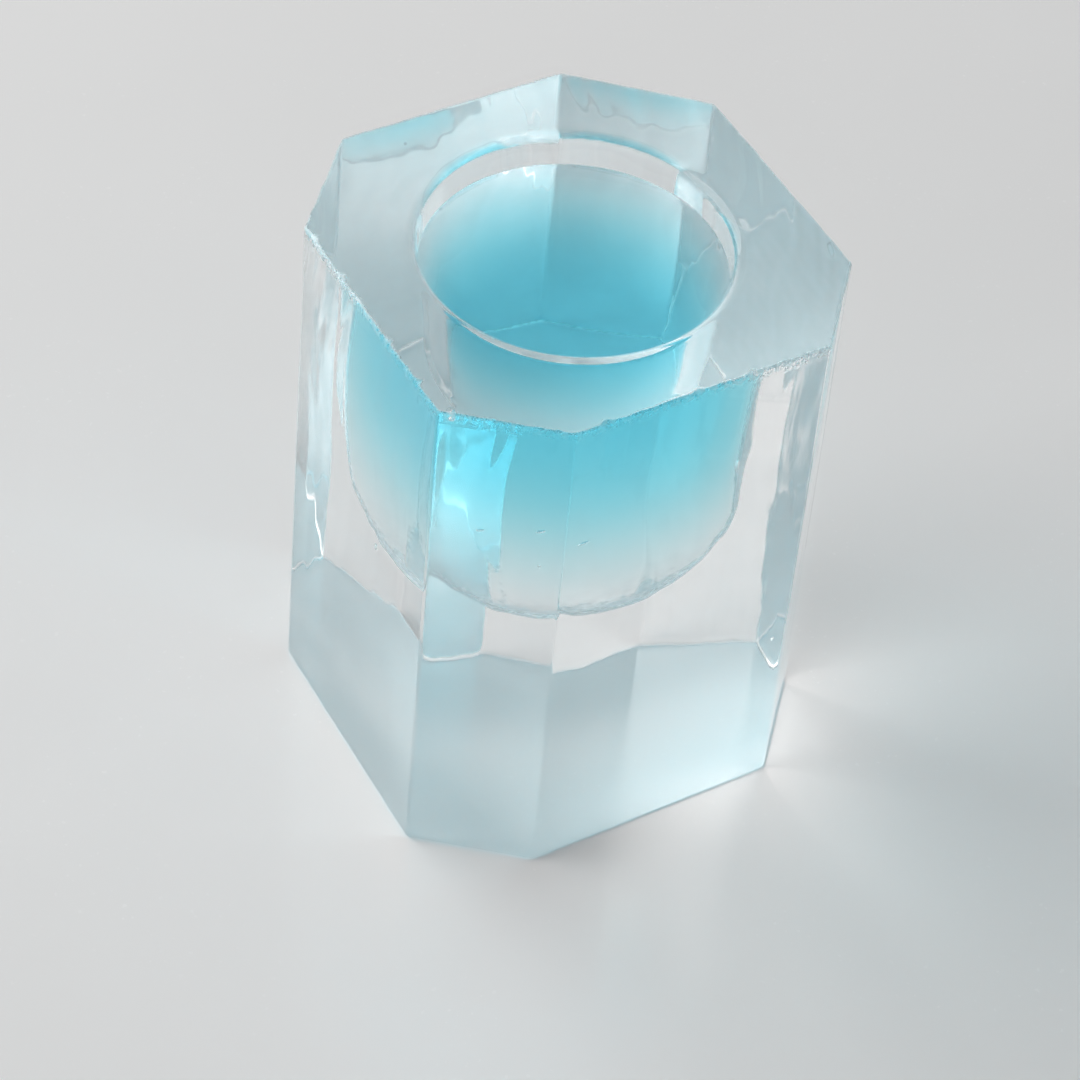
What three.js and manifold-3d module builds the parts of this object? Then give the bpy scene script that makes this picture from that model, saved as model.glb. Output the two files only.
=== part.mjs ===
// Dappen dish: a small eight-sided block of pressed glass with a round well in its top,
// holding a little coloured liquid. It stands on its base and nothing on it moves.
//
// Millimetres, +Z up. The origin is the middle of the base. X and Y run square to the four wide sides.

import * as THREE from 'three';
import { mergeVertices } from 'three/addons/utils/BufferGeometryUtils.js';
import Module from 'manifold-3d';

// ---- Driving dimensions -------------------------------------------------------------------

// The block
const height = 38;
const topWidth = 28; // across the wide sides, at the top face
const baseWidth = 29; // the same at the base: the sides lean out so that the block leaves its mould
const cornerRound = 0.5; // radius of the eight upright edges
const edgeBevel = 0.4; // rounding of the top and bottom edges

// Each corner of the square is cut off by a narrow side. alongX and alongY say how far the cut runs
// back along the two wide sides, at the top face. The cuts of a hand-polished mould are uneven.
const cornerCuts = {
  frontLeft: { alongX: 6.2, alongY: 4.9 },
  frontRight: { alongX: 5.0, alongY: 5.6 },
  backRight: { alongX: 7.3, alongY: 6.5 },
  backLeft: { alongX: 5.6, alongY: 6.3 },
};

// The well
const wellDepth = 23.3; // from the top face to the bottom of the bowl
const bowlDepth = 7.3; // the rounded bottom, below where the wall begins
const bowlRadius = 8.5; // of the wall where the bowl meets it
const wallTopRadius = 9.35; // of the wall just below the rim
const rimRound = 0.7; // rounding between the wall and the top face

// The liquid
const freeboard = 2.6; // from the top face down to the liquid's surface
const liquidClearance = 0.3; // gap between the liquid's solid and the glass

// Facets on round shapes
const roundSegments = 64;
const bowlSegments = 14;
const rimSegments = 4;
const cornerSegments = 3;
const bevelSegments = 2;

// ---- Closed solids --------------------------------------------------------------------------

const wasm = await Module();
wasm.setup();

// One closed mesh with shared vertices and no collapsed triangles, as a lathe leaves at its poles.
function closeUp(geometry) {
  const bare = geometry.clone();
  bare.deleteAttribute('normal');
  bare.deleteAttribute('uv');
  const merged = mergeVertices(bare, 1e-5);
  const corners = merged.index.array;
  const kept = [];
  for (let i = 0; i < corners.length; i += 3) {
    const [a, b, c] = [corners[i], corners[i + 1], corners[i + 2]];
    if (a !== b && b !== c && c !== a) kept.push(a, b, c);
  }
  merged.setIndex(kept);
  return merged;
}

function toSolid(geometry) {
  const closed = closeUp(geometry);
  return new wasm.Manifold(new wasm.Mesh({
    numProp: 3,
    vertProperties: new Float32Array(closed.attributes.position.array),
    triVerts: new Uint32Array(closed.index.array),
  }));
}

function toGeometry(solid) {
  const mesh = solid.getMesh();
  const geometry = new THREE.BufferGeometry();
  geometry.setAttribute('position', new THREE.BufferAttribute(mesh.vertProperties, 3));
  geometry.setIndex(new THREE.BufferAttribute(mesh.triVerts, 1));
  return geometry;
}

// A solid of revolution about Z, from a profile of (radius, z) points that starts and ends on the axis.
function turned(profile) {
  return new THREE.LatheGeometry(profile, roundSegments).rotateX(Math.PI / 2);
}

// ---- The block --------------------------------------------------------------------------------

// The eight corners of the top face, anticlockwise from the left end of the front side.
function octagonCorners() {
  const half = topWidth / 2;
  const { frontLeft, frontRight, backRight, backLeft } = cornerCuts;
  return [
    new THREE.Vector2(-half + frontLeft.alongX, -half),
    new THREE.Vector2(half - frontRight.alongX, -half),
    new THREE.Vector2(half, -half + frontRight.alongY),
    new THREE.Vector2(half, half - backRight.alongY),
    new THREE.Vector2(half - backRight.alongX, half),
    new THREE.Vector2(-half + backLeft.alongX, half),
    new THREE.Vector2(-half, half - backLeft.alongY),
    new THREE.Vector2(-half, -half + frontLeft.alongY),
  ];
}

// A closed outline through the corners, each one rounded by an arc that touches both its sides.
function roundedOutline(corners, radius) {
  const outline = new THREE.Shape();
  corners.forEach((corner, i) => {
    const before = corners[(i + corners.length - 1) % corners.length];
    const after = corners[(i + 1) % corners.length];
    const arriving = corner.clone().sub(before).normalize();
    const leaving = after.clone().sub(corner).normalize();
    const turn = Math.acos(arriving.dot(leaving));
    const inward = new THREE.Vector2(-arriving.y, arriving.x);
    const centre = corner.clone()
      .addScaledVector(arriving, -radius * Math.tan(turn / 2))
      .addScaledVector(inward, radius);
    const start = arriving.angle() - Math.PI / 2;
    outline.absarc(centre.x, centre.y, radius, start, start + turn, false);
  });
  outline.closePath();
  return outline;
}

// The block without its well: the outline drawn up to full height and widened towards the base.
function blockGeometry() {
  const block = new THREE.ExtrudeGeometry(roundedOutline(octagonCorners(), cornerRound), {
    depth: height - 2 * edgeBevel,
    curveSegments: cornerSegments,
    bevelEnabled: true,
    bevelThickness: edgeBevel,
    bevelSize: edgeBevel,
    bevelOffset: -edgeBevel,
    bevelSegments,
  });
  block.translate(0, 0, edgeBevel);
  const position = block.attributes.position;
  for (let i = 0; i < position.count; i += 1) {
    const spread = THREE.MathUtils.lerp(baseWidth / topWidth, 1, position.getZ(i) / height);
    position.setX(i, position.getX(i) * spread);
    position.setY(i, position.getY(i) * spread);
  }
  return block;
}

// ---- The well ---------------------------------------------------------------------------------

const wellBottom = height - wellDepth;
const bowlTop = wellBottom + bowlDepth;
const wallTop = height - rimRound;

// Half an ellipse from the axis out to the wall. inset moves the whole curve into the well.
function bowlProfile(inset) {
  const points = [];
  for (let i = 0; i <= bowlSegments; i += 1) {
    const angle = (i / bowlSegments) * (Math.PI / 2);
    points.push(new THREE.Vector2(
      (bowlRadius - inset) * Math.sin(angle),
      bowlTop - (bowlDepth - inset) * Math.cos(angle),
    ));
  }
  return points;
}

// The wall's radius at a height: it widens evenly from the bowl to the rim.
function wallRadius(z) {
  return THREE.MathUtils.mapLinear(z, bowlTop, wallTop, bowlRadius, wallTopRadius);
}

// What the plunger leaves out of the glass: the bowl, the wall and a rounded rim, open at the top.
function wellGeometry() {
  const profile = bowlProfile(0);
  for (let i = 0; i <= rimSegments; i += 1) {
    const angle = (i / rimSegments) * (Math.PI / 2);
    profile.push(new THREE.Vector2(
      wallTopRadius + rimRound * (1 - Math.cos(angle)),
      wallTop + rimRound * Math.sin(angle),
    ));
  }
  const mouthRadius = wallTopRadius + rimRound;
  const clearOfTop = height + rimRound;
  profile.push(new THREE.Vector2(mouthRadius, clearOfTop));
  profile.push(new THREE.Vector2(0, clearOfTop));
  return turned(profile);
}

// ---- Sub-parts ----------------------------------------------------------------------------------

function glassDish() {
  const solid = toSolid(blockGeometry()).subtract(toSolid(wellGeometry()));
  const glass = new THREE.MeshStandardMaterial({
    color: 0xe6eef0,
    roughness: 0.05,
    metalness: 0,
    transparent: true,
    opacity: 0.35,
  });
  const dish = new THREE.Mesh(toGeometry(solid), glass);
  dish.name = 'glass_dish';
  return dish;
}

// The liquid fills the well up to its surface and follows the same bowl and wall.
function blueLiquid() {
  const surface = height - freeboard;
  const profile = bowlProfile(liquidClearance);
  profile.push(new THREE.Vector2(wallRadius(surface) - liquidClearance, surface));
  profile.push(new THREE.Vector2(0, surface));
  const water = new THREE.MeshStandardMaterial({
    color: 0x3fb9d8,
    roughness: 0.05,
    metalness: 0,
    transparent: true,
    opacity: 0.6,
  });
  const liquid = new THREE.Mesh(closeUp(turned(profile)), water);
  liquid.name = 'blue_liquid';
  return liquid;
}

const dappenDish = new THREE.Group();
dappenDish.add(glassDish(), blueLiquid());

export default dappenDish;
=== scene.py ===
"""A glass dappen dish with blue liquid in its well, on a pale table in soft light.

Lengths are in millimetres until a mesh is made, and metres from there on. +Z is up and the origin is
the middle of the dish's base.
"""

import math

import bpy
import numpy as np
from mathutils import Matrix, Vector

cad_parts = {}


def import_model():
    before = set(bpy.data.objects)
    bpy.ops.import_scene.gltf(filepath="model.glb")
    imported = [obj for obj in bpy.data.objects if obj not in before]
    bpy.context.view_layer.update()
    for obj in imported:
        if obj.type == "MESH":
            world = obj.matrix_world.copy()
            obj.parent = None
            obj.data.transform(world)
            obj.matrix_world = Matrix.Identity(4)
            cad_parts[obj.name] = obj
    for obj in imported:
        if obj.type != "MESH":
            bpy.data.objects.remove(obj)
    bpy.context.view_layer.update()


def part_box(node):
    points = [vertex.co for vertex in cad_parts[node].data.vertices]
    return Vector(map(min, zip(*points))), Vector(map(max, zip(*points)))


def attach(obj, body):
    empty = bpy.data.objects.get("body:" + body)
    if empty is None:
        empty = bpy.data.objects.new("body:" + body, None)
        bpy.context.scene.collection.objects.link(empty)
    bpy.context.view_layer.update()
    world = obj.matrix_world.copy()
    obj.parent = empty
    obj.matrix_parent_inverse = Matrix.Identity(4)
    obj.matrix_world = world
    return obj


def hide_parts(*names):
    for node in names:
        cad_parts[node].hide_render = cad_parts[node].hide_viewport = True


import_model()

MM = 0.001

# ---- Sizes of the dish ------------------------------------------------------------------------

dish_low, dish_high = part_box("glass_dish")
liquid_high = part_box("blue_liquid")[1]

HEIGHT = dish_high[2] / MM
BASE_WIDTH = (dish_high[0] - dish_low[0]) / MM
TOP_WIDTH = 28.0
CORNER_CUTS = (  # run along X and along Y of each cut corner, anticlockwise from the front left
    (6.2, 4.9),
    (5.0, 5.6),
    (7.3, 6.5),
    (5.6, 6.3),
)
CORNER_ROUND = 0.5
BASE_EDGE_ROUND = 0.25

WELL_DEPTH = 23.3
BOWL_DEPTH = 7.3
BOWL_RADIUS = 8.5
WALL_TOP_RADIUS = 9.35
RIM_ROUND = 0.7
WELL_BOTTOM = HEIGHT - WELL_DEPTH
BOWL_TOP = WELL_BOTTOM + BOWL_DEPTH
WALL_TOP = HEIGHT - RIM_ROUND

LIQUID_LEVEL = liquid_high[2] / MM
CONTACT_LEVEL = LIQUID_LEVEL + 0.5  # where the liquid's edge meets the wall
CAPILLARY_LENGTH = 1.7
LIQUID_OVERLAP = 0.01  # how far the liquid's side lies inside the glass

SIDE_MEAN_INSET = 0.065  # keeps the ripples of the sides inside the flat faces
LEFT_FACE_MIDDLE = 78.0  # distance along the outline from its first corner
WORN_EDGE_LIMITS = (0.1, 0.7)  # least and most rounding of the top edge

TABLE_HALF_WIDTH = 1500.0
TABLE_LEVEL = 0.02

# How finely the surfaces are divided
SIDE_STEPS = 56
CORNER_STEPS = 8
ROUND_STEPS = 6
HEIGHT_STEPS = 80
TOP_FACE_STEPS = 13
DRY_WALL_STEPS = 5
WALL_STEPS = 25
BOWL_STEPS = 33
FREE_SURFACE_STEPS = 41
LIQUID_COLUMNS = 192
BUBBLE_COLUMNS = 24
BUBBLE_STEPS = 13


# ---- Outline of the block ----------------------------------------------------------------------

def outline(width, cuts, corner_round):
    """The rounded eight-sided outline at the top face, anticlockwise: points and outward normals.

    Each corner is an arc that touches both its sides. Along an arc the normal turns evenly. Along a
    side it stays square to the side, and the points are spread evenly between the arcs.
    """
    half = width / 2
    (fl, fr, br, bl) = cuts
    corners = np.array([
        (-half + fl[0], -half), (half - fr[0], -half), (half, -half + fr[1]), (half, half - br[1]),
        (half - br[0], half), (-half + bl[0], half), (-half, half - bl[1]), (-half, -half + fl[1]),
    ])
    leaving = np.roll(corners, -1, axis=0) - corners
    leaving /= np.linalg.norm(leaving, axis=1)[:, None]
    arriving = np.roll(leaving, 1, axis=0)
    turn = np.arccos((leaving * arriving).sum(1))
    first_normal = np.stack([arriving[:, 1], -arriving[:, 0]], 1)
    back_off = corner_round * np.tan(turn / 2)
    centres = corners - arriving * back_off[:, None] - first_normal * corner_round
    first_angle = np.arctan2(first_normal[:, 1], first_normal[:, 0])
    share = np.linspace(0, 1, CORNER_STEPS + 1)
    angle = first_angle[:, None] + turn[:, None] * share
    arc_normals = np.stack([np.cos(angle), np.sin(angle)], -1)
    arcs = centres[:, None] + corner_round * arc_normals
    along = np.linspace(0, 1, SIDE_STEPS + 1)[1:-1, None]
    next_arcs = np.roll(arcs[:, 0], -1, axis=0)[:, None]
    sides = arcs[:, -1:] * (1 - along) + next_arcs * along
    side_normals = np.broadcast_to(arc_normals[:, -1:], sides.shape)
    points = np.concatenate([arcs, sides], 1).reshape(-1, 2)
    normals = np.concatenate([arc_normals, side_normals], 1).reshape(-1, 2)
    return points, normals


def spread(z):
    """How much wider the block is at a height than at its top: it widens evenly to the base."""
    return 1 + (BASE_WIDTH / TOP_WIDTH - 1) * (1 - z / HEIGHT)


def wall_radius(z):
    """The well wall's radius at a height: it widens evenly from the bowl to the rim."""
    return BOWL_RADIUS + (WALL_TOP_RADIUS - BOWL_RADIUS) * (z - BOWL_TOP) / (WALL_TOP - BOWL_TOP)


# ---- Meshes --------------------------------------------------------------------------------------

def circle_rings(radii, heights, angles):
    """Level rings of the given radii and heights, with their points at the given angles."""
    radii, heights = np.broadcast_arrays(radii, heights)
    heights = np.broadcast_to(heights[:, None], (len(heights), len(angles)))
    return np.stack([radii[:, None] * np.cos(angles), radii[:, None] * np.sin(angles), heights], -1)


def well_rings(top, angles, swell=0.0):
    """Rings down the well from a height on its wall to just short of the bowl's lowest point.

    The wall's radius grows evenly with height and the bowl is a quarter of an ellipse. swell moves
    the whole surface outwards, into the glass.
    """
    wall_heights = np.linspace(top, BOWL_TOP, WALL_STEPS + 1)
    slope = np.linspace(math.pi / 2, 0, BOWL_STEPS + 1)[1:-1]
    radii = np.concatenate([wall_radius(wall_heights), BOWL_RADIUS * np.sin(slope)]) + swell
    heights = np.concatenate([wall_heights, BOWL_TOP - (BOWL_DEPTH + swell) * np.cos(slope)])
    return circle_rings(radii, heights, angles)


def ring_faces(count, columns):
    """Faces over a pole, then count rings, then a pole: a fan, count - 1 bands of quads, and a fan.

    The points are numbered from the first pole, ring by ring, to the last pole.
    """
    column = np.arange(columns)
    following = (column + 1) % columns
    start = 1 + columns * np.arange(count - 1)[:, None]
    quads = np.stack([
        start + column, start + following, start + columns + following, start + columns + column,
    ], -1).reshape(-1, 4)
    last = 1 + columns * (count - 1)
    first_fan = np.stack([np.zeros(columns, int), 1 + following, 1 + column], -1)
    last_fan = np.stack([last + column, last + following, np.full(columns, last + columns)], -1)
    return first_fan, quads, last_fan


def smooth_piece(name, points, faces, materials):
    """An object with smooth shading from points in millimetres and lists of faces."""
    mesh = bpy.data.meshes.new(name)
    mesh.from_pydata((points * MM).tolist(), [], faces)
    for material in materials:
        mesh.materials.append(material)
    mesh.polygons.foreach_set("use_smooth", np.ones(len(mesh.polygons), bool))
    mesh.update()
    piece = bpy.data.objects.new(name, mesh)
    bpy.context.collection.objects.link(piece)
    return piece


def closed_surface(name, rings, poles, materials, band_slots):
    """A closed mesh from rings of points, with a pole at each end.

    rings is an array (ring, column, xyz) in millimetres. The columns run anticlockwise, and the rings
    run out from the first pole and round to the last one. band_slots gives a material number for each
    band of faces between two rings, the two fans at the poles included.
    """
    count, columns = rings.shape[:2]
    points = np.concatenate([[poles[0]], rings.reshape(-1, 3), [poles[1]]])
    first_fan, quads, last_fan = ring_faces(count, columns)
    faces = first_fan.tolist() + quads.tolist() + last_fan.tolist()
    piece = smooth_piece(name, points, faces, materials)
    slots = np.repeat(band_slots, columns).astype(np.int32)
    piece.data.polygons.foreach_set("material_index", slots)
    piece.data.update()
    return piece


def waves(along, *parts):
    """A sum of sines of a length: each part is (wavelength, height, start)."""
    return sum(height * np.sin(2 * math.pi * along / length + start) for length, height, start in parts)


def side_ripple(around, z):
    """How far the side lies inside its flat face, from pressing: upright flutes that fade downwards.

    The flutes are sums of sines of the distance along the outline, which drift sideways with height
    and are deepest on the left face. Broad shallow hollows cross them. Both grow with the square of
    the height.
    """
    deeper = 1 + 0.9 * np.exp(-((around - LEFT_FACE_MIDDLE) / 8) ** 2)
    drift = around + 0.5 * np.sin(z / 4.1) + 0.3 * np.sin(z / 2.3 + 1)
    flutes = waves(drift, (1.9, 0.009, 0.4), (3.1, 0.012, 2.0), (1.23, 0.004, 1.1))
    broad = waves(around, (9.7, 0.012, 0.3)) * np.cos(z / 5.3)
    broad = broad + waves(around, (7.1, 0.010, 1.3)) * np.sin(z / 3.7)
    strength = 0.2 + 0.8 * (z / HEIGHT) ** 2
    return SIDE_MEAN_INSET + (flutes * deeper + broad) * strength


def perimeter(points):
    """Each point's distance along the outline from the first one."""
    return np.concatenate([[0], np.cumsum(np.linalg.norm(np.diff(points, axis=0), axis=1))])


def worn_edge(points):
    """The top edge's rounding: uneven all along, with small chips at the front and left.

    The unevenness is a sum of sines of the distance along the outline, and a chip is what stands over
    a threshold in another such sum.
    """
    around = perimeter(points)
    front = np.clip((-2.0 - points.sum(1)) / 3.5, 0, 1)
    uneven = waves(around, (6.1, 0.03, 0.2), (2.3, 0.025, 1.7), (1.37, 0.02, 0.9))
    chips = np.maximum(waves(around, (1.9, 1, 0.0), (1.17, 1, 2.2), (3.3, 1, 4.0)) - 1.5, 0)
    return np.clip(0.2 + uneven * (0.3 + 0.7 * front) + 0.25 * chips * front, *WORN_EDGE_LIMITS)


def block_ring(points, normals, z, inset):
    """The outline at a height: moved in by inset and the side's ripple, then widened by the lean."""
    z, inset = np.broadcast_to(z, len(points)), np.broadcast_to(inset, len(points))
    moved = points - normals * (inset + side_ripple(perimeter(points), z))[:, None]
    return np.concatenate([moved * spread(z)[:, None], z[:, None]], 1)


def glass_body(glass, wetted):
    """The block and its well as one closed grid: base, leaning sides, top face, rim, wall and bowl.

    Each ring is the outline or a circle. Edges are quarter circles, and the top face runs evenly from
    the outline to the mouth.
    """
    points, normals = outline(TOP_WIDTH, CORNER_CUTS, CORNER_ROUND)
    angles = np.arctan2(points[:, 1], points[:, 0])
    quarter = np.linspace(0, math.pi / 2, ROUND_STEPS + 1)
    worn = worn_edge(points)
    base_edge = block_ring(points, normals, 0.0, BASE_EDGE_ROUND)
    top_edge = block_ring(points, normals, HEIGHT, worn)
    mouth = circle_rings([WALL_TOP_RADIUS + RIM_ROUND], HEIGHT, angles)[0]
    rings = [base_edge * (share, share, 1) for share in (0.1, 0.3, 0.5, 0.7, 0.85, 0.95, 0.99)]
    base_rise = BASE_EDGE_ROUND * (1 - np.cos(quarter))
    base_inset = BASE_EDGE_ROUND * (1 - np.sin(quarter))
    rings += [block_ring(points, normals, z, inset) for z, inset in zip(base_rise, base_inset)]
    side_heights = np.linspace(BASE_EDGE_ROUND, HEIGHT - 0.75, HEIGHT_STEPS)[1:]
    rings += [block_ring(points, normals, z, 0.0) for z in side_heights]
    rings += [
        block_ring(points, normals, HEIGHT - worn * (1 - math.sin(a)), worn * (1 - math.cos(a)))
        for a in quarter
    ]
    shares = np.linspace(0, 1, TOP_FACE_STEPS + 1)[1:-1]
    rings += [top_edge * (1 - share) + mouth * share for share in shares]
    rim_heights = WALL_TOP + RIM_ROUND * np.cos(quarter)
    rim_radii = WALL_TOP_RADIUS + RIM_ROUND * (1 - np.sin(quarter))
    rings += list(circle_rings(rim_radii, rim_heights, angles))
    dry_heights = np.linspace(WALL_TOP, CONTACT_LEVEL, DRY_WALL_STEPS + 1)[1:-1]
    rings += list(circle_rings(wall_radius(dry_heights), dry_heights, angles))
    dry_bands = len(rings) + 1
    rings += list(well_rings(CONTACT_LEVEL, angles))
    band_slots = np.arange(len(rings) + 1) >= dry_bands
    poles = ((0, 0, 0), (0, 0, WELL_BOTTOM))
    return closed_surface("glass_body", np.array(rings), poles, (glass, wetted), band_slots)


def meniscus_height(gap):
    """How high the liquid stands above its level at a distance from the wall, for a straight wall.

    A slope angle a lies 2 sin(a/2) capillary lengths above the level, and -ln tan(a/4) - 2 cos(a/2)
    capillary lengths along from where the surface would be upright.
    """
    rise = CONTACT_LEVEL - LIQUID_LEVEL
    steepest = 2 * math.asin(rise / (2 * CAPILLARY_LENGTH))
    slope = np.geomspace(steepest, 1e-3, 400)
    along = -np.log(np.tan(slope / 4)) - 2 * np.cos(slope / 2)
    from_wall = CAPILLARY_LENGTH * (along - along[0])
    return np.interp(gap, from_wall, 2 * CAPILLARY_LENGTH * np.sin(slope / 2))


def liquid_body(liquid):
    """The liquid: the well's own surface up to the contact line, closed by the curved free surface."""
    angles = np.linspace(0, 2 * math.pi, LIQUID_COLUMNS + 1)[:-1]
    submerged = well_rings(CONTACT_LEVEL, angles, LIQUID_OVERLAP)[::-1]
    edge_radius = wall_radius(CONTACT_LEVEL) + LIQUID_OVERLAP
    radii = edge_radius * np.sin(np.linspace(math.pi / 2, 0, FREE_SURFACE_STEPS + 1)[1:-1])
    heights = LIQUID_LEVEL + meniscus_height(edge_radius - radii)
    rings = np.concatenate([submerged, circle_rings(radii, heights, angles)])
    centre_height = LIQUID_LEVEL + meniscus_height(edge_radius)
    poles = ((0, 0, WELL_BOTTOM - LIQUID_OVERLAP), (0, 0, centre_height))
    return closed_surface("liquid_body", rings, poles, (liquid,), np.zeros(len(rings) + 1))


def seed_bubbles(air):
    """Small air bubbles left in the glass near its faces: ellipsoids, each (centre, half sizes)."""
    bubbles = (
        ((-13.42, -2.71, 20.62), (0.20, 0.20, 0.26)),
        ((3.95, -12.95, 29.9), (0.15, 0.15, 0.55)),
        ((-13.0, -9.2, 37.35), (0.20, 0.20, 0.16)),
        ((-8.1, -11.9, 29.0), (0.35, 0.12, 0.09)),
        ((-6.0, -12.1, 27.5), (0.42, 0.12, 0.08)),
        ((-10.7, -9.6, 28.2), (0.30, 0.12, 0.08)),
        ((-7.9, -11.8, 26.0), (0.09, 0.09, 0.14)),
        ((11.2, 4.0, 33.5), (0.16, 0.16, 0.12)),
        ((-3.0, 12.4, 30.6), (0.12, 0.12, 0.20)),
        ((10.6, -7.6, 9.0), (0.14, 0.14, 0.20)),
    )
    around = np.linspace(0, 2 * math.pi, BUBBLE_COLUMNS + 1)[:-1]
    down = np.linspace(0, math.pi, BUBBLE_STEPS + 1)[1:-1]
    ball = circle_rings(np.sin(down), -np.cos(down), around).reshape(-1, 3)
    ball = np.concatenate([[(0, 0, -1)], ball, [(0, 0, 1)]])
    points = np.concatenate([ball * sizes + centre for centre, sizes in bubbles])
    faces = []
    for number in range(len(bubbles)):
        for group in ring_faces(len(down), BUBBLE_COLUMNS):
            faces += (group + number * len(ball)).tolist()
    return smooth_piece("seed_bubbles", points, faces, (air,))


# ---- Materials -------------------------------------------------------------------------------------

class Value:
    """A shader value that can be added, multiplied and so on, so that a formula reads as it is written."""

    def __init__(self, material, socket):
        self.material, self.socket = material, socket

    def math(self, operation, *others):
        """A Math node worked on this value and the others."""
        node = self.material.node("ShaderNodeMath", {"operation": operation})
        for slot, value in zip(node.inputs, (self, *others)):
            self.material.feed(slot, value)
        return Value(self.material, node.outputs[0])

    def __add__(self, other):
        return self.math("ADD", other)

    def __mul__(self, other):
        return self.math("MULTIPLY", other)

    __radd__ = __add__
    __rmul__ = __mul__

    def __sub__(self, other):
        return self.math("SUBTRACT", other)

    def __rsub__(self, other):
        return self * -1.0 + other

    def __truediv__(self, other):
        return self.math("DIVIDE", other)

    def __rtruediv__(self, other):
        return self.math("POWER", -1.0) * other

    def ramp(self, low, high):
        """0 below low, 1 above high, and an even slope between."""
        return ((self - low) / (high - low)).math("MAXIMUM", 0.0).math("MINIMUM", 1.0)


class Material:
    """A material's node tree, with one method that adds any node."""

    def __init__(self, name):
        self.data = bpy.data.materials.new(name)
        self.data.use_nodes = True
        self.tree = self.data.node_tree
        self.tree.nodes.clear()
        self.output = self.tree.nodes.new("ShaderNodeOutputMaterial")

    @classmethod
    def of_tree(cls, tree):
        """The same helpers for a node tree that exists already, such as the room's."""
        made = cls.__new__(cls)
        made.tree = tree
        return made

    def feed(self, slot, value):
        """Link a value or a socket to a node's socket, or set a number or colour on it."""
        if isinstance(value, Value):
            value = value.socket
        if isinstance(value, bpy.types.NodeSocket):
            self.tree.links.new(value, slot)
        else:
            slot.default_value = value

    def node(self, kind, settings=None, **sockets):
        """Any node: its type, then its settings, then the values or links of its named sockets."""
        made = self.tree.nodes.new(kind)
        for name, value in (settings or {}).items():
            setattr(made, name, value)
        for name, value in sockets.items():
            self.feed(made.inputs[name.replace("_", " ")], value)
        return made

    def place(self):
        """The point on the piece, in millimetres: X, Y and Z."""
        where = self.node("ShaderNodeTexCoord").outputs["Object"]
        parts = self.node("ShaderNodeSeparateXYZ", None, Vector=where)
        return [Value(self, part) * 1000.0 for part in parts.outputs]

    def noise(self, size, detail=2.0, stretch=(1, 1, 1)):
        """Smooth random values about 0.5, in patches of a size in millimetres."""
        where = self.node("ShaderNodeTexCoord").outputs["Object"]
        scaled = self.node("ShaderNodeMapping", None, Vector=where, Scale=stretch).outputs[0]
        texture = self.node(
            "ShaderNodeTexNoise", None, Vector=scaled, Scale=1 / (size * MM), Detail=detail,
        )
        return Value(self, texture.outputs["Fac"])

    def bump(self, height):
        """A normal for a height in millimetres."""
        return self.node("ShaderNodeBump", None, Strength=1.0, Distance=MM, Height=height).outputs[0]

    def mix(self, share, first, second):
        """The first shader, giving way to the second as share goes from 0 to 1."""
        mixed = self.node("ShaderNodeMixShader", None, Fac=share)
        self.feed(mixed.inputs[1], first.outputs[0])
        self.feed(mixed.inputs[2], second.outputs[0])
        return mixed

    def finish(self, shader, volume=None):
        """Join the shaders to the output, and give the finished material."""
        self.tree.links.new(shader.outputs[0], self.output.inputs["Surface"])
        if volume:
            self.tree.links.new(volume.outputs[0], self.output.inputs["Volume"])
        return self.data


GLASS_IOR = 1.5
LIQUID_IOR = 1.455
DYE_COLOUR = (0.0, 0.87, 0.985, 1)
DYE_TOP = 102.0
DYE_BOTTOM = 2.0
DYE_LOW, DYE_HIGH = 2.0, 13.0


def clear_glass():
    """Pressed glass: faint ripples everywhere, and a grainy top edge at the front and left."""
    m = Material("clear_glass")
    x, y, z = m.place()
    near_top = z.ramp(HEIGHT - 0.9, HEIGHT - 0.3) * (1.0 - z.ramp(HEIGHT - 0.02, HEIGHT))
    outside_mouth = (x * x + y * y).ramp(110.0, 125.0)
    edge = near_top * outside_mouth * (1.0 - (x + y).ramp(-5.5, -2.0))
    ripples = m.noise(4.0, 1.0) * 0.05 + m.noise(1.3, 1.0, (1, 1, 0.3)) * 0.006
    grain = m.noise(0.35, 1.0)
    frosted = edge * grain.ramp(0.42, 0.58)
    shader = m.node(
        "ShaderNodeBsdfPrincipled", None, Base_Color=(1, 1, 1, 1), Transmission_Weight=1.0,
        IOR=GLASS_IOR, Roughness=m.noise(6.0) * 0.1 + frosted * 0.5,
        Normal=m.bump(ripples + grain * edge * 0.07),
    )
    return m.finish(shader)


def wetted_glass():
    """Where liquid wets the well: it is left clear, because the liquid's own side bends the light."""
    m = Material("wetted_glass")
    return m.finish(m.node("ShaderNodeBsdfTransparent"))


def trapped_air():
    """Air inside the glass: light bends the other way at it."""
    m = Material("trapped_air")
    shader = m.node(
        "ShaderNodeBsdfGlass", None, Color=(1, 1, 1, 1), IOR=1 / GLASS_IOR, Roughness=m.noise(1.0) * 0.05,
    )
    return m.finish(shader)


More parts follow.
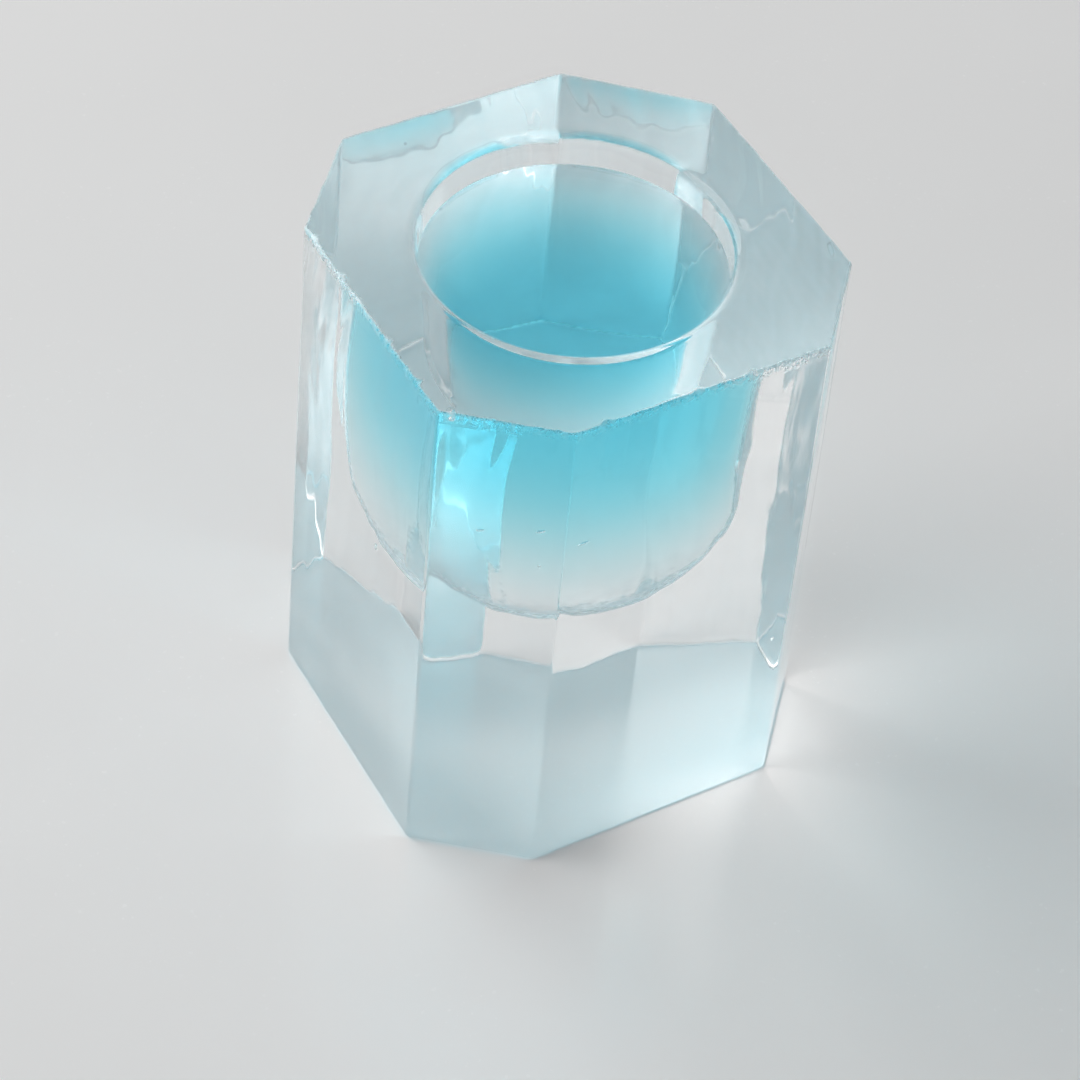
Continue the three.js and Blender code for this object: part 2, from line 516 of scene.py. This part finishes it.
def blue_liquid():
    """Clear liquid with blue dye in layers: strong near the top and almost none in the bowl.

    Its free surface bends light as liquid against air, and the rest as liquid against glass.
    """
    m = Material("blue_liquid")
    x, y, z = m.place()
    open_area = (wall_radius(CONTACT_LEVEL) - 0.04) ** 2
    off_the_wall = 1.0 - (x * x + y * y).ramp(open_area, open_area + 0.1)
    free = z.ramp(LIQUID_LEVEL - 0.21, LIQUID_LEVEL - 0.2) * off_the_wall
    against_air = m.node(
        "ShaderNodeBsdfPrincipled", None, Base_Color=(1, 1, 1, 1), Transmission_Weight=1.0,
        IOR=LIQUID_IOR, Roughness=m.noise(3.0) * 0.03,
    )
    in_bowl = 1.0 - z.ramp(BOWL_TOP - 4.5, BOWL_TOP - 1.0)
    peel = m.noise(0.9, 2.0) * in_bowl * 0.12
    against_glass = m.node(
        "ShaderNodeBsdfGlass", None, Color=(1, 1, 1, 1), IOR=LIQUID_IOR / GLASS_IOR,
        Roughness=in_bowl * 0.2 + 0.03, Normal=m.bump(peel),
    )
    depth = z.ramp(WELL_BOTTOM + DYE_LOW, WELL_BOTTOM + DYE_HIGH)
    weak = m.node("ShaderNodeVolumeAbsorption", None, Color=DYE_COLOUR, Density=DYE_BOTTOM)
    strong = m.node("ShaderNodeVolumeAbsorption", None, Color=DYE_COLOUR, Density=DYE_TOP)
    return m.finish(m.mix(free, against_glass, against_air), m.mix(depth, weak, strong))


# ---- The dish ------------------------------------------------------------------------------------

body = glass_body(clear_glass(), wetted_glass())
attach(body, "root")
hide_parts("glass_dish")

bubbles = seed_bubbles(trapped_air())
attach(bubbles, "root")
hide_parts("glass_dish")

liquid = liquid_body(blue_liquid())
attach(liquid, "root")
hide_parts("blue_liquid")

# ---- Table, light and camera ---------------------------------------------------------------------

def table():
    """A glossy pale table top with faint cloudiness and scattered dust.

    It lies a hair above the dish's base, as if wet beneath it, so that no air parts the two.
    """
    m = Material("table")
    cloud = m.noise(30.0, 3.0)
    dust = m.noise(0.45, 1.0).ramp(0.70, 0.73) * m.noise(14.0).ramp(0.45, 0.6)
    shade = 0.93 + cloud * 0.04 + dust * 0.04
    colour = m.node(
        "ShaderNodeCombineColor", None, Red=shade, Green=shade + 0.002, Blue=shade + 0.004,
    ).outputs[0]
    shader = m.node(
        "ShaderNodeBsdfPrincipled", None, Base_Color=colour, Roughness=0.12 + cloud * 0.12,
    )
    corners = np.array([(-1, -1, 0), (1, -1, 0), (1, 1, 0), (-1, 1, 0)]) * TABLE_HALF_WIDTH
    corners[:, 2] = TABLE_LEVEL
    mesh = bpy.data.meshes.new("table")
    mesh.from_pydata((corners * MM).tolist(), [], [(0, 1, 2, 3)])
    mesh.materials.append(m.finish(shader))
    piece = bpy.data.objects.new("table", mesh)
    bpy.context.collection.objects.link(piece)


def world():
    """Soft room light: brighter low down than overhead, brighter on the left than on the right."""
    made = bpy.data.worlds.new("room")
    made.use_nodes = True
    room = Material.of_tree(made.node_tree)
    facing = room.node("ShaderNodeTexCoord").outputs["Generated"]
    parts = room.node("ShaderNodeSeparateXYZ", None, Vector=facing).outputs
    x, y, z = [Value(room, part) for part in parts]
    left = x * -0.8 + y * 0.35
    brightness = 0.90 - z.ramp(0.1, 0.8) * 0.66 + left * 0.30
    background = made.node_tree.nodes["Background"]
    background.inputs["Color"].default_value = (0.985, 0.993, 1.0, 1)
    room.feed(background.inputs["Strength"], brightness)
    bpy.context.scene.world = made


def window():
    """A wide soft light at the left, a little behind the dish, turned to its base."""
    data = bpy.data.lights.new("window", "AREA")
    data.shape = "RECTANGLE"
    data.size, data.size_y = 0.85, 0.7
    data.energy = 4.2
    data.color = (1.0, 0.985, 0.965)
    lamp = bpy.data.objects.new("window", data)
    lamp.location = (-0.400, 0.460, 0.340)
    lamp.rotation_euler = (-lamp.location).to_track_quat("-Z", "Y").to_euler()
    bpy.context.collection.objects.link(lamp)


def camera():
    """A camera with a long lens, in front of the dish and to its left, looking down on it."""
    turned, down, tilt = math.radians(32.862), math.radians(47.083), math.radians(5.615)
    ahead = Vector((math.sin(turned) * math.cos(down), math.cos(turned) * math.cos(down), -math.sin(down)))
    level = Vector((math.cos(turned), -math.sin(turned), 0))
    above = level.cross(ahead)
    right = level * math.cos(tilt) + above * math.sin(tilt)
    up = above * math.cos(tilt) - level * math.sin(tilt)
    data = bpy.data.cameras.new("camera")
    data.sensor_width = 36
    data.lens = 110.43
    eye = bpy.data.objects.new("camera", data)
    position = Vector((-79.066, -121.661, 168.113)) * MM
    turn = Matrix((right, up, -ahead)).transposed().to_4x4()
    eye.matrix_world = Matrix.Translation(position) @ turn
    data.clip_start, data.clip_end = 0.01, 10
    bpy.context.collection.objects.link(eye)
    bpy.context.scene.camera = eye


def light_paths():
    """Enough bounces for light that is caught inside the glass, and clear glass kept sharp."""
    cycles = bpy.context.scene.cycles
    cycles.max_bounces = 32
    cycles.transmission_bounces = 32
    cycles.transparent_max_bounces = 32
    cycles.glossy_bounces = 20
    cycles.blur_glossy = 0.0
    cycles.volume_step_rate = 2.0


table()
world()
window()
camera()
light_paths()
bpy.context.scene.view_settings.view_transform = "Standard"
